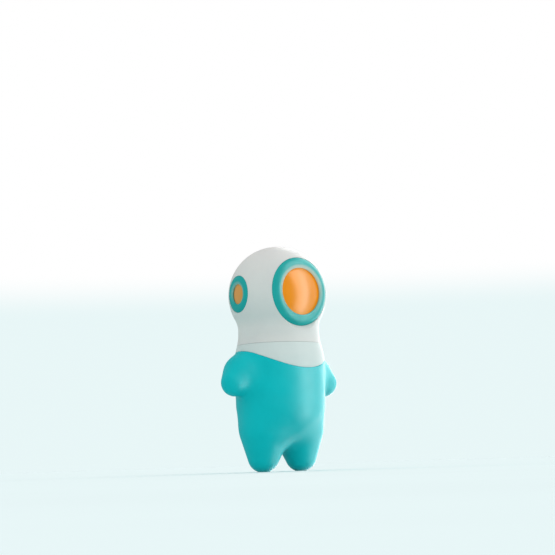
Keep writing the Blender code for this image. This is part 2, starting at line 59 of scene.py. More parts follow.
# Places read from the frame.
JOINTS = {joint["name"]: joint for joint in frame["joints"]}
AXIS_Y = JOINTS["helmet_turn"]["pos_m"][1] / MM
TOP_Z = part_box("helmet_shell")[1].z / MM
SEAM_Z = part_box("collar_shell")[1].z / MM + GAP / 2
SPIGOT_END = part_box("helmet_shell")[0].z / MM
TUB_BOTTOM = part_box("lower_contact")[0].z / MM - GAP - TUB_FLOOR
FLANGE_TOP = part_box("tub_screw_1")[1].z / MM - GAP - SCREW_HEAD
CAP_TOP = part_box("led_board")[0].z / MM - GAP
BALLAST_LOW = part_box("ballast_weight")[0].z / MM
BALLAST_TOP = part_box("ballast_weight")[1].z / MM
PIN_Z = (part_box("sensor_pin_left")[0].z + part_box("sensor_pin_left")[1].z) / 2 / MM

# Helmet.
HELMET_R = 29.1
HELMET_Z = TOP_Z - HELMET_R
HELMET_WALL = 1.8
NECK_R = 23.9
NECK_FILLET = 13.0
SPIGOT_R = 21.2
SPIGOT_BORE = 18.4
THROAT_R = 22.6  # where the neck's inside runs out into the dome's
THROAT_Z = 83.0  # top of the spigot's bore
SEAL_Z = SEAM_Z - 3.5
SEAL_R = 20.8
SEAL_THICK = 1.5
FRONT_PORT = {"ring": 20.1, "glass": 13.8, "lip": 22.8, "crest": 1.25, "crown": 25.5}
SIDE_PORT = {"ring": 10.9, "glass": 5.9, "lip": 27.4, "crest": 0.7, "crown": 27.5}
PORTS = {
    "front": (0.0, 0.5, FRONT_PORT),
    "side_left": (96.0, 0.0, SIDE_PORT),
    "side_right": (-96.0, 0.0, SIDE_PORT),
}
LIP_THICK = 0.8
GLOW_ASIDE = 1.2  # of the painted glow, a peach band up the middle of the front window that stands in for the lamp's light and a painted strip highlight
GLOW_WIDTH = 4.2
WINDOW_THICK = 1.6
WINDOW_MARGIN = 1.6

# Body skin.
CHEST_R = 26.8
WAIST_R = 26.4
NECK_TOP = 81.0
CHEST_Z = 64.0
WAIST_Z = 40.0
HIP = (12.3, 0.0, 24.1)
HIP_R = 14.3
FOOT = (13.9, 0.0, 8.2)
FOOT_R = 8.7
FOOT_DEPTH = 1.15
SHOULDER = (25.1, 1.8, 56.8)
SHOULDER_R = 12.3
HAND = (33.1, 0.0, 51.9)
HAND_R = 8.1
LEG_BLEND = 3.2
HIP_BLEND = 6.0
ARM_BLEND = 6.0
SUIT_WALL = 2.0
SKIN_VOXEL = 1.1
LINING_VOXEL = 2.4
SKIN_TOP = 78.0

# Collar.
BIB_Z = 70.3
BIB_DROP = 10.9
BIB_HALF_ANGLE = 98.0
SOCKET_R = 21.9
SOCKET_FLOOR = SEAM_Z - 6.6
SLEEVE_R = 23.2
SLEEVE_BORE = 20.3
SLEEVE_END = SEAM_Z - 20.3
SHELF_Z = SEAM_Z - 13.2
SHELF_THICK = 2.2
SHELF_BORE = 16.2

# Battery pod and light.
TUB_R = 15.8
TUB_BORE = 14.2
BOSS_R = 4.0
BOSS_LENGTH = 6.0
FLANGE_R = 20.0
FLANGE_THICK = 2.0
TUB_SCREW_R = 18.7
TUB_SCREW_ANGLES = (90.0, 210.0, 330.0)
CAP_R = 17.1
CAP_SCREW_R = 15.8
CAP_SCREW_ANGLES = (0.0, 180.0)
SCREW_HEAD_R = 1.3
SCREW_PITCH = 0.45
SCREW_R = 0.8
SCREW_HOLE_R = 1.15
CELL_R = 5.8
CELL_HEIGHT = 5.4
CONTACT_THICK = 0.5
BOARD_R = 11.5
DOME_R = 13.4
DOME_WALL = 1.2
PIN_X = 4.5
PIN_HOLE_R = 1.3
PIN_HOLE_REACH = (17.0, 31.0)  # from the figure's axis to the back
BALLAST_R = 15.0
ROD_R = 1.5

# Camera: just above the floor and looking up a little, its image turned so that the figure leans back as it floats.
CAMERA_AZIMUTH = -38.0
CAMERA_DISTANCE = 900.0
CAMERA_HEIGHT = 4.0
CAMERA_ASIDE = 0.46
CAMERA_ROLL = -1.8
AIM_HEIGHT = 114.8
FRAME_WIDTH = 331.3  # of the picture, at the figure

# Surroundings. Lengths are in metres, azimuths in degrees round the figure, and light in watts per square metre and
# steradian.
FLOOR_R = 30.0
FLOOR_DROP = 0.0002
PANEL_AIM = 0.07
PANEL_DISTANCE = 1.2
PALE_WATER = (0.81, 0.925, 0.93)
FLOOR_TINT = (0.795, 0.911, 0.917)  # shows as the pale water under this light
WATER_BOUNCE = (0.60, 0.80, 0.80)
HORIZON = (0.098, 0.128)  # the sine of the elevation where pale turns to white
SKY_AZIMUTH = 50.0
SKY_STRENGTHS = (0.80, 1.216)  # away from and towards the bright side
ROOM_STRENGTHS = (0.024, 0.4)  # what the sheen sees, on the camera's side and behind the figure
# The two soft panels reach below the floor, so that the undersides get their sheen too.
KEY = {"azimuth": 34.0, "height": 0.3, "size": (0.9, 2.8), "radiance": 21.0}
FILL = {"azimuth": 100.0, "height": 0.1, "size": (1.9, 3.2), "radiance": 5.4}


# ---- shapes ----

SHARP_EDGE = 32.0  # degrees, from which an edge shows as a crease
STRAIGHT = 78.0  # degrees of half a corner, from which it needs no rounding
SMALL_FILLET = 0.12


def arc(centre, radius, start, end, steps):
    """Points round a circle in the profile plane, both ends included. Angles in degrees from +radius."""
    angles = [math.radians(start + (end - start) * i / steps) for i in range(steps + 1)]
    return [(centre[0] + radius * math.cos(a), centre[1] + radius * math.sin(a)) for a in angles]


def on_sphere(radius, sphere):
    return (radius, math.sqrt(sphere * sphere - radius * radius))


def rounded(profile, radius, closed=True, steps=4):
    """The profile with its sharp corners rounded off."""
    points = [Vector(p) for p in profile]
    count = len(points)
    made = []
    for i, point in enumerate(points):
        if not closed and i in (0, count - 1):
            made.append(tuple(point))
            continue
        back = points[i - 1] - point
        ahead = points[(i + 1) % count] - point
        half = back.angle(ahead) / 2
        if half > math.radians(STRAIGHT):
            made.append(tuple(point))
            continue
        reach = min(radius / math.tan(half), 0.45 * back.length, 0.45 * ahead.length)
        start = point + back.normalized() * reach
        end = point + ahead.normalized() * reach
        for step in range(steps + 1):
            share = step / steps
            made.append(tuple(start * (1 - share) ** 2 + point * 2 * share * (1 - share) + end * share**2))
    return made


def lathe_mesh(name, profile, closed, segments):
    """A turned mesh in metres. An open profile starts and ends on the axis."""
    turns = np.arange(segments) * 2 * math.pi / segments
    verts = []
    rows = []
    for radius, height in profile:
        if radius < 1e-6:
            rows.append([len(verts)])
            verts.append((0.0, 0.0, height * MM))
            continue
        rows.append(list(range(len(verts), len(verts) + segments)))
        verts += [(radius * MM * math.cos(a), radius * MM * math.sin(a), height * MM) for a in turns]
    faces = []
    pairs = list(zip(rows, rows[1:]))
    if closed:
        pairs.append((rows[-1], rows[0]))
    for upper, lower in pairs:
        for i in range(segments):
            j = (i + 1) % segments
            corners = [upper[i % len(upper)], lower[i % len(lower)], lower[j % len(lower)], upper[j % len(upper)]]
            faces.append(list(dict.fromkeys(corners)))
    mesh = bpy.data.meshes.new(name)
    mesh.from_pydata(verts, [], [face for face in faces if len(face) > 2])
    return finished(mesh)


def finished(mesh):
    """Normals out, smooth shading, and sharp edges kept crisp."""
    shape = bmesh.new()
    shape.from_mesh(mesh)
    bmesh.ops.recalc_face_normals(shape, faces=shape.faces)
    shape.to_mesh(mesh)
    shape.free()
    mesh.shade_smooth()
    mesh.set_sharp_from_angle(angle=math.radians(SHARP_EDGE))
    return mesh


def place_on_axis(matrix):
    """A place measured from the figure's upright axis, as one in the frame. Both are matrices in metres."""
    return Matrix.Translation((0.0, AXIS_Y * MM, 0.0)) @ (matrix or Matrix())


def shift(x, y, z):
    return Matrix.Translation(Vector((x, y, z)) * MM)


def around(radius, degrees, height=0.0):
    angle = math.radians(degrees)
    return shift(radius * math.cos(angle), radius * math.sin(angle), height) @ Matrix.Rotation(angle, 4, "Z")


def axis_frame(direction, origin):
    turn = Vector(direction).to_track_quat("Z", "Y").to_matrix().to_4x4()
    return Matrix.Translation(Vector(origin) * MM) @ turn


def port_frame(turn, lift):
    """A port's frame: its origin in the dome's middle, its z axis out through the port."""
    turn = math.radians(turn)
    lift = math.radians(lift)
    direction = Vector((math.sin(turn) * math.cos(lift), -math.cos(turn) * math.cos(lift), math.sin(lift)))
    return axis_frame(direction, (0.0, 0.0, HELMET_Z))


def add_piece(node, mesh, body, finish, place=None):
    """A fine piece in place of the CAD node of this name. It rides on a body and has one of the record's finishes."""
    piece = bpy.data.objects.new(f"{node}_fine", mesh)
    bpy.context.scene.collection.objects.link(piece)
    mesh.transform(place_on_axis(place))
    mesh.materials.clear()
    mesh.materials.append(materials[finish])
    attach(piece, body)
    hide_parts(node)


def turned(node, profile, body, finish, place=None, closed=True, fillet=SMALL_FILLET, segments=96):
    """A fine turned piece."""
    if fillet:
        profile = rounded(profile, fillet, closed)
    add_piece(node, lathe_mesh(f"{node}_fine", profile, closed, segments), body, finish, place)


def ring(node, inner, outer, bottom, top, body, finish, place=None, segments=96):
    section = [(inner, top), (outer, top), (outer, bottom), (inner, bottom)]
    turned(node, section, body, finish, place, segments=segments)


def disc(node, radius, bottom, top, body, finish, fillet=SMALL_FILLET, segments=96):
    section = [(0.0, top), (radius, top), (radius, bottom), (0.0, bottom)]
    turned(node, section, body, finish, closed=False, fillet=fillet, segments=segments)


def cut(mesh, cutters, operation="DIFFERENCE"):
    """The mesh after a Boolean with each cutter mesh in turn; all are in one frame."""
    target = bpy.data.objects.new("target", mesh)
    bpy.context.scene.collection.objects.link(target)
    helpers = []
    for cutter in cutters:
        helper = bpy.data.objects.new("cutter", cutter)
        bpy.context.scene.collection.objects.link(helper)
        helpers.append(helper)
        boolean = target.modifiers.new("Cut", "BOOLEAN")
        boolean.operation = operation
        boolean.solver = "EXACT"
        boolean.object = helper
    bpy.context.view_layer.update()
    made = bpy.data.meshes.new_from_object(target.evaluated_get(bpy.context.evaluated_depsgraph_get()))
    for obj in [target, *helpers]:
        bpy.data.objects.remove(obj)
    return finished(made)


def cylinder(radius, bottom, top, place, segments):
    mesh = lathe_mesh("cylinder", [(0.0, top), (radius, top), (radius, bottom), (0.0, bottom)], False, segments)
    mesh.transform(place)
    return mesh


def screw_holes(circle_r, angles, bottom, top):
    """Cutters for clearance holes round a circle."""
    return [cylinder(SCREW_HOLE_R, bottom, top, around(circle_r, angle), 24) for angle in angles]


def pin_holes():
    """Cutters for the holes of the two water contacts, through the back of the suit and the collar."""
    return [cylinder(PIN_HOLE_R, *PIN_HOLE_REACH, pin_frame(x), 32) for x in (PIN_X, -PIN_X)]


def block(size, place=None):
    mesh = bpy.data.meshes.new("block")
    shape = bmesh.new()
    bmesh.ops.create_cube(shape, size=1.0, matrix=Matrix.Diagonal((*(Vector(size) * MM), 1.0)))
    shape.to_mesh(mesh)
    shape.free()
    mesh.transform(place or Matrix())
    return mesh


# ---- materials ----

# Specular levels of the pieces that show.
SUIT_GLOSS = 0.10
SHELL_GLOSS = 0.03
RING_GLOSS = 0.06


def linear(red, green, blue):
    """A colour given as it looks on screen, 0 to 255."""
    return tuple((c / 255 / 12.92) if c <= 10 else ((c / 255 + 0.055) / 1.055) ** 2.4 for c in (red, green, blue))


class Finish:
    """A Principled material with helpers for the fine detail that every moulded surface has."""

    def __init__(self, name):
        self.material = bpy.data.materials.new(name)
        self.material.use_nodes = True
        self.nodes = self.material.node_tree.nodes
        self.links = self.material.node_tree.links
        self.shader = self.nodes["Principled BSDF"]
        self.where = self.nodes.new("ShaderNodeTexCoord").outputs["Object"]

    def set(self, **values):
        """Sets the shader's sockets by name, with _ for a space."""
        for name, value in values.items():
            self.shader.inputs[name.replace("_", " ")].default_value = value
        return self

    def link(self, source, name):
        self.links.new(source, self.shader.inputs[name])

    def noise(self, scale, detail=3.0, stretch=None):
        """Noise over the piece, by features per metre."""
        node = self.nodes.new("ShaderNodeTexNoise")
        node.inputs["Scale"].default_value = scale
        node.inputs["Detail"].default_value = detail
        node.inputs["Roughness"].default_value = 0.55
        if stretch:
            mapping = self.nodes.new("ShaderNodeMapping")
            mapping.inputs["Scale"].default_value = stretch
            self.links.new(self.where, mapping.inputs["Vector"])
            self.links.new(mapping.outputs["Vector"], node.inputs["Vector"])
        else:
            self.links.new(self.where, node.inputs["Vector"])
        return node.outputs["Fac"]

    def ramp(self, source, low, high, at=(0.35, 0.65)):
        """The source's middle stretch, spread from one colour or number to another."""
        node = self.nodes.new("ShaderNodeMapRange")
        node.inputs["From Min"].default_value = at[0]
        node.inputs["From Max"].default_value = at[1]
        self.links.new(source, node.inputs["Value"])
        if not isinstance(low, tuple):
            node.inputs["To Min"].default_value = low
            node.inputs["To Max"].default_value = high
            return node.outputs["Result"]
        return self.mix(node.outputs["Result"], low, high)

    def mix(self, factor, low, high):
        node = self.nodes.new("ShaderNodeMix")
        node.data_type = "RGBA"
        self.links.new(factor, node.inputs["Factor"])
        for socket, value in ((node.inputs[6], low), (node.inputs[7], high)):
            if isinstance(value, tuple):
                socket.default_value = (*value, 1.0)
            else:
                self.links.new(value, socket)
        return node.outputs[2]

    def attribute(self, name):
        node = self.nodes.new("ShaderNodeAttribute")
        node.attribute_name = name
        return node.outputs["Fac"]

    def bump(self, *layers):
        """Height layers, each (source, depth in millimetres)."""
        normal = None
        for source, depth in layers:
            node = self.nodes.new("ShaderNodeBump")
            node.inputs["Distance"].default_value = depth * MM
            node.inputs["Strength"].default_value = 1.0
            self.links.new(source, node.inputs["Height"])
            if normal:
                self.links.new(normal, node.inputs["Normal"])
            normal = node.outputs["Normal"]
        self.link(normal, "Normal")


def moulded(name, colour, shade, rough, grain=0.010):
    """Injection-moulded plastic: soft flow mottle, a fine satin grain and uneven gloss."""
    finish = Finish(name)
    finish.link(finish.ramp(finish.noise(45.0, 4.0), colour, shade), "Base Color")
    finish.link(finish.ramp(finish.noise(160.0, 3.0), *rough), "Roughness")
    finish.bump((finish.noise(90.0, 2.0), 0.03), (finish.noise(2600.0, 2.0), grain))
    return finish


def helmet_finish():
    """Neutral white, a little translucent."""
    finish = moulded("satin_white_helmet", linear(219, 219, 216), linear(213, 213, 211), (0.36, 0.46))
    finish.set(Subsurface_Weight=0.12, Subsurface_Radius=(1.0, 0.85, 0.7), Subsurface_Scale=0.0015)
    return finish.set(Specular_IOR_Level=SHELL_GLOSS)


def collar_finish():
    """The helmet's white, a shade cooler."""
    finish = moulded("satin_white_collar", linear(213, 221, 219), linear(207, 216, 214), (0.36, 0.46))
    finish.set(Subsurface_Weight=0.10, Subsurface_Radius=(1.0, 0.9, 0.85), Subsurface_Scale=0.0015)
    return finish.set(Specular_IOR_Level=SHELL_GLOSS)


def suit_finish():
    """Soft vinyl: a saturated turquoise with faint mottle, a leathery micro grain and a satin skin."""
    finish = Finish("soft_turquoise_vinyl")
    finish.link(finish.ramp(finish.noise(38.0, 4.0), linear(0, 184, 190), linear(0, 191, 197)), "Base Color")
    finish.link(finish.ramp(finish.noise(140.0, 3.0), 0.40, 0.50), "Roughness")
    finish.bump((finish.noise(70.0, 2.0), 0.05), (finish.noise(1500.0, 3.0), 0.012))
    finish.set(Subsurface_Weight=0.05, Subsurface_Radius=(0.3, 1.0, 1.0), Subsurface_Scale=0.001)
    return finish.set(Specular_IOR_Level=SUIT_GLOSS)


def ring_finish():
    """Teal ring with painted glow: its inner slope is painted paler towards the window, most at the top."""
    finish = Finish("satin_teal_ring")
    teal = finish.ramp(finish.noise(80.0, 3.0), linear(30, 160, 158), linear(38, 168, 165))
    # Painted glow: the inner slope's colour turns pale, as if lit by the window.
    painted_glow_spill = finish.mix(finish.attribute("painted_glow_spill"), teal, linear(196, 200, 186))
    finish.link(painted_glow_spill, "Base Color")
    finish.link(finish.ramp(finish.noise(200.0, 3.0), 0.30, 0.40), "Roughness")
    finish.bump((finish.noise(2400.0, 2.0), 0.008))
    return finish.set(Specular_IOR_Level=RING_GLOSS)


def window_finish():
    """Orange lens over the lamp, with painted glow: emission in place of the lamp's light through it, a painted peach
    band up the middle of the big one, dimmer in the small ones.
    """
    finish = Finish("glowing_orange_window")
    # Painted glow: emission with a painted peach band up the middle, and a dimmer glow in the side windows.
    painted_glow = finish.mix(finish.attribute("painted_glow"), (0.56, 0.185, 0.004), (0.60, 0.27, 0.085))
    painted_glow = finish.mix(finish.attribute("dimmer_painted_glow"), painted_glow, (0.30, 0.19, 0.075))
    finish.link(finish.ramp(finish.noise(120.0, 3.0), (0.30, 0.105, 0.010), (0.26, 0.09, 0.008)), "Base Color")
    finish.link(painted_glow, "Emission Color")
    finish.set(Emission_Strength=1.0, Specular_IOR_Level=0.0, Coat_Weight=0.17, Coat_Roughness=0.26)
    finish.link(finish.ramp(finish.noise(260.0, 2.0), 0.16, 0.24), "Roughness")
    finish.bump((finish.noise(60.0, 2.0), 0.03))
    return finish


def rubber_finish():
    finish = Finish("black_seal_rubber")
    finish.link(finish.ramp(finish.noise(300.0, 4.0), (0.010, 0.010, 0.011), (0.028, 0.028, 0.030)), "Base Color")
    finish.link(finish.ramp(finish.noise(500.0, 3.0), 0.42, 0.62), "Roughness")
    finish.bump((finish.noise(1800.0, 2.0), 0.01))
    return finish


def metal_finish(name, colour, shade, rough):
    """Turned or rolled metal with fine drawn lines and a little tarnish."""
    stretch = (1.0, 1.0, 12.0)
    finish = Finish(name)
    finish.set(Metallic=1.0)
    finish.link(finish.ramp(finish.noise(180.0, 5.0), colour, shade), "Base Color")
    finish.link(finish.ramp(finish.noise(700.0, 4.0, stretch=stretch), *rough), "Roughness")
    finish.bump((finish.noise(1400.0, 3.0, stretch=stretch), 0.006))
    return finish


def board_finish():
    """Green solder mask with paler copper tracks under it."""
    finish = Finish("green_circuit_board")
    tracks = finish.nodes.new("ShaderNodeTexBrick")
    tracks.inputs["Scale"].default_value = 420.0
    tracks.inputs["Mortar Size"].default_value = 0.10
    tracks.inputs["Color1"].default_value = (*linear(18, 92, 52), 1.0)
    tracks.inputs["Color2"].default_value = (*linear(22, 104, 58), 1.0)
    tracks.inputs["Mortar"].default_value = (*linear(64, 140, 84), 1.0)
    finish.links.new(finish.where, tracks.inputs["Vector"])
    finish.link(tracks.outputs["Color"], "Base Color")
    finish.link(finish.ramp(finish.noise(400.0), 0.30, 0.42), "Roughness")
    finish.bump((tracks.outputs["Fac"], 0.02))
    return finish


def lamp_finish():
    finish = Finish("lit_lamp_resin")
    finish.link(finish.ramp(finish.noise(500.0), linear(255, 226, 190), linear(255, 214, 170)), "Base Color")
    finish.link(finish.ramp(finish.noise(500.0), 0.10, 0.18), "Roughness")
    finish.set(Emission_Color=(1.0, 0.62, 0.30, 1.0), Emission_Strength=3.0, Transmission_Weight=0.3)
    finish.bump((finish.noise(300.0), 0.01))
    return finish


def diffuser_finish():
    finish = moulded("milky_diffuser", linear(246, 236, 222), linear(240, 228, 210), (0.40, 0.52), 0.014)
    # Painted glow: the emission stands in for the LED's light through the milky dome.
    finish.set(Subsurface_Weight=0.4, Subsurface_Scale=0.004, Emission_Color=(1.0, 0.60, 0.28, 1.0))
    finish.set(Emission_Strength=0.35)
    return finish


def make_materials():
    white = moulded("satin_white_pod", linear(226, 226, 222), linear(218, 218, 214), (0.40, 0.52))
    retainer = moulded("satin_white_retainer", linear(222, 221, 216), linear(214, 213, 208), (0.42, 0.55))
    made = {
        "helmet": helmet_finish(),
        "port_ring": ring_finish(),
        "port_window": window_finish(),
        "retainer": retainer,
        "seal_rubber": rubber_finish(),
        "collar": collar_finish(),
        "suit": suit_finish(),
        "pod": white,
        "screw_steel": metal_finish("zinc_screw", (0.62, 0.62, 0.60), (0.52, 0.52, 0.51), (0.24, 0.40)),
        "circuit_board": board_finish(),
        "lamp": lamp_finish(),
        "chip": moulded("black_chip_resin", (0.018, 0.018, 0.020), (0.030, 0.030, 0.032), (0.42, 0.55), 0.02),
        "diffuser": diffuser_finish(),
        "contact": metal_finish("nickel_strip", (0.66, 0.62, 0.54), (0.55, 0.52, 0.46), (0.20, 0.34)),
        "cell": metal_finish("steel_cell", (0.70, 0.70, 0.69), (0.62, 0.62, 0.61), (0.16, 0.28)),
        "stainless": metal_finish("stainless_pin", (0.66, 0.66, 0.65), (0.58, 0.58, 0.57), (0.16, 0.30)),
        "ballast": metal_finish("galvanised_ballast", (0.42, 0.43, 0.44), (0.30, 0.31, 0.32), (0.40, 0.60)),
    }
    return {name: finish.material for name, finish in made.items()}


# ---- helmet ----


def helmet_profile():
    reach = NECK_R + NECK_FILLET
    drop = math.sqrt((HELMET_R + NECK_FILLET) ** 2 - reach**2)
    leave = math.degrees(math.asin(drop / (HELMET_R + NECK_FILLET)))
    outer = arc((0.0, HELMET_Z), HELMET_R, 90.0, -leave, 64)
    outer += arc((reach, HELMET_Z - drop), NECK_FILLET, 180.0 - leave, 180.0, 14)[1:]
    seam = SEAM_Z + FIT / 2
    for step in range(1, 9):
        z = NECK_TOP + (seam + EDGE_BREAK - NECK_TOP) * step / 8
        outer.append((float(trunk_radius(z)), z))
    outer.append((float(trunk_radius(seam)) - EDGE_BREAK, seam))
    groove = SEAL_THICK / 2 + GAP
    floor = SEAL_R - SEAL_THICK / 2 - GAP
    spigot = [
        (SPIGOT_R, seam),
        (SPIGOT_R, SEAL_Z + groove),
        (floor, SEAL_Z + groove),
        (floor, SEAL_Z - groove),
        (SPIGOT_R, SEAL_Z - groove),
        (SPIGOT_R, SPIGOT_END + 0.3),
        (SPIGOT_R - 0.3, SPIGOT_END),
        (SPIGOT_BORE + 0.3, SPIGOT_END),
        (SPIGOT_BORE, SPIGOT_END + 0.3),
        (SPIGOT_BORE, THROAT_Z),
    ]
    inner_r = HELMET_R - HELMET_WALL
    start = math.degrees(math.acos(THROAT_R / inner_r))
    return outer + spigot + arc((0.0, HELMET_Z), inner_r, -start, 90.0, 36)


def port_cutter(turn, lift, port):
    """A bore for the ring, which opens out at 45 degrees from where it leaves the dome, and so eases into the neck."""
    bore = port["ring"] + FIT / 2
    surface = math.sqrt(HELMET_R**2 - bore**2) - 0.1
    reach = 45.0
    section = [(0.0, reach), (bore + reach - surface, reach), (bore, surface), (bore, 5.0), (0.0, 5.0)]
    mesh = lathe_mesh("port_cutter", section, False, 144)
    mesh.transform(port_frame(turn, lift))
    return mesh


def make_helmet():
    mesh = lathe_mesh("helmet", helmet_profile(), False, 192)
    mesh = cut(mesh, [port_cutter(*port) for port in PORTS.values()])
    add_piece("helmet_shell", mesh, "helmet", "helmet")


def store(mesh, name, values):
    layer = mesh.attributes.new(name, "FLOAT", "POINT")
    layer.data.foreach_set("value", np.array(values, np.float32))


def radii(mesh):
    return [math.hypot(v.co.x, v.co.y) / MM for v in mesh.vertices]


def make_port(name, turn, lift, port):
    place = port_frame(turn, lift)
    rim = port["ring"] - FIT / 2
    glass = port["glass"]
    pane = glass + WINDOW_MARGIN
    under_lip = port["lip"] - LIP_THICK

    sag = port["crown"] - (under_lip - GAP)
    curve = (glass**2 + sag**2) / (2 * sag)
    middle = (0.0, port["crown"] - curve)
    back = curve - WINDOW_THICK
    edge = math.degrees(math.acos(pane / curve))
    back_edge = math.degrees(math.acos(pane / back))
    section = arc(middle, curve, 90.0, edge, 28) + arc(middle, back, back_edge, 90.0, 20)
    mesh = lathe_mesh(f"{name}_window_fine", rounded(section, 0.2, False), False, 128)
    # Painted glow: a peach band up the middle of the front window, and a dimmer painted glow in the side ones.
    store(mesh, "painted_glow", [math.exp(-(((v.co.x / MM - GLOW_ASIDE) / GLOW_WIDTH) ** 2)) for v in mesh.vertices])
    store(mesh, "dimmer_painted_glow", [0.0 if port is FRONT_PORT else 1.0] * len(mesh.vertices))
    add_piece(f"{name}_window", mesh, "helmet", "port_window", place)

    keep = middle[1] + math.sqrt(back**2 - pane**2) - 2 * GAP
    hold = [(glass, keep + 0.8), (pane, keep), (pane, keep - 0.9), (glass, keep - 0.9)]
    turned(f"{name}_retainer", hold, "helmet", "retainer", place, fillet=0.2)

    outer = on_sphere(rim, HELMET_R - 0.2)
    band = []
    for step in range(25):
        share = step / 24
        height = port["lip"] + (outer[1] - port["lip"]) * share + port["crest"] * 4 * share * (1 - share)
        band.append((glass + (rim - glass) * share, height))
    bore = pane + GAP
    below = [on_sphere(rim, HELMET_R - HELMET_WALL - GAP), (bore, keep - 0.9), (bore, under_lip), (glass, under_lip)]
    mesh = lathe_mesh(f"{name}_bezel_fine", rounded(band + below, 0.35, steps=6), True, 160)
    # Painted glow on the ring: paler towards the window and at the top, weaker on the side ports.
    inner_third = glass + 0.38 * (rim - glass)
    painted_glow_spill = [min(1.0, max(0.0, (inner_third - r) / (inner_third - glass))) for r in radii(mesh)]
    above = [min(1.0, max(0.0, 0.7 + 0.8 * v.co.y / v.co.xy.length)) for v in mesh.vertices]
    spill = 1.0 if port is FRONT_PORT else 0.4
    store(mesh, "painted_glow_spill", [spill * value**0.8 * share for value, share in zip(painted_glow_spill, above)])
    add_piece(f"{name}_bezel", mesh, "helmet", "port_ring", place)


def make_neck_seal():
    section = arc((SEAL_R, SEAL_Z), SEAL_THICK / 2, 90.0, -255.0, 23)
    turned("neck_seal", section, "seal", "seal_rubber", fillet=0, segments=144)


# ---- body skin ----


def smooth_step(t):
    t = np.clip(t, 0.0, 1.0)
    return t * t * (3.0 - 2.0 * t)


def smooth_min(a, b, width):
    mix = np.clip(0.5 + 0.5 * (b - a) / width, 0.0, 1.0)
    return b * (1.0 - mix) + a * mix - width * mix * (1.0 - mix)


def trunk_radius(z):
    widen = (CHEST_R - NECK_R) * smooth_step((NECK_TOP - z) / (NECK_TOP - CHEST_Z))
    narrow = (CHEST_R - WAIST_R) * smooth_step((CHEST_Z - 4.0 - z) / (CHEST_Z - 4.0 - WAIST_Z))
    return NECK_R + widen - narrow


def trunk_distance(points):
    below = np.minimum(points[:, 2] - WAIST_Z, 0.0)
    return np.hypot(np.hypot(points[:, 0], points[:, 1]), below) - trunk_radius(points[:, 2])


def limb_distance(points, start, end, start_r, end_r, depth=1.0):
    """Distance to a round cone between two balls."""
    start = np.array(start)
    along = np.array(end) - start
    length = np.linalg.norm(along)
    offset = (points - start) / np.array([1.0, depth, 1.0])
    share = offset @ along / length**2
    aside = np.linalg.norm(offset - share[:, None] * along, axis=1)
    slope = (end_r - start_r) / length
    share = np.clip(share + aside * slope / math.sqrt(1.0 - slope * slope) / length, 0.0, 1.0)
    return np.linalg.norm(offset - share[:, None] * along, axis=1) - (start_r + share * (end_r - start_r))


def skin_distance(points, top):
    """Signed distance from points in millimetres to the body's skin, closed off at the height top."""
    right = points * np.array([-1.0, 1.0, 1.0])
    legs = smooth_min(
        limb_distance(points, FOOT, HIP, FOOT_R, HIP_R, FOOT_DEPTH),
        limb_distance(right, FOOT, HIP, FOOT_R, HIP_R, FOOT_DEPTH),
        LEG_BLEND,
    )
    arms = np.minimum(
        limb_distance(points, SHOULDER, HAND, SHOULDER_R, HAND_R),
        limb_distance(right, SHOULDER, HAND, SHOULDER_R, HAND_R),
    )
    body = smooth_min(trunk_distance(points), legs, HIP_BLEND)
    body = smooth_min(body, arms, ARM_BLEND)
    return np.maximum(body, points[:, 2] - top)


def pull_to_skin(shape, inset, top):
    """Moves the vertices of a body mesh onto the skin, or that far inside it."""
    points = np.array([v.co for v in shape.verts]) / MM
    step = 0.05
    for _ in range(5):
        value = skin_distance(points, top) + inset
        slope = np.empty_like(points)
        for axis in range(3):
            side = np.zeros(3)
            side[axis] = step
            slope[:, axis] = (skin_distance(points + side, top) - skin_distance(points - side, top)) / (2 * step)
        steepness = np.maximum((slope * slope).sum(axis=1), 0.25)
        points -= (value / steepness)[:, None] * slope
    for vertex, point in zip(shape.verts, points * MM):
        vertex.co = point


def add_limb(rough, start, end, start_r, end_r):
    along = Vector(end) - Vector(start)
    place = axis_frame(along, (Vector(start) + Vector(end)) / 2)
    bmesh.ops.create_cone(
        rough,
        cap_ends=True,
        segments=48,
        radius1=start_r * MM,
        radius2=end_r * MM,
        depth=along.length * MM,
        matrix=place,
    )
    for centre, radius in ((start, start_r), (end, end_r)):
        bmesh.ops.create_uvsphere(rough, u_segments=48, v_segments=24, radius=radius * MM, matrix=shift(*centre))


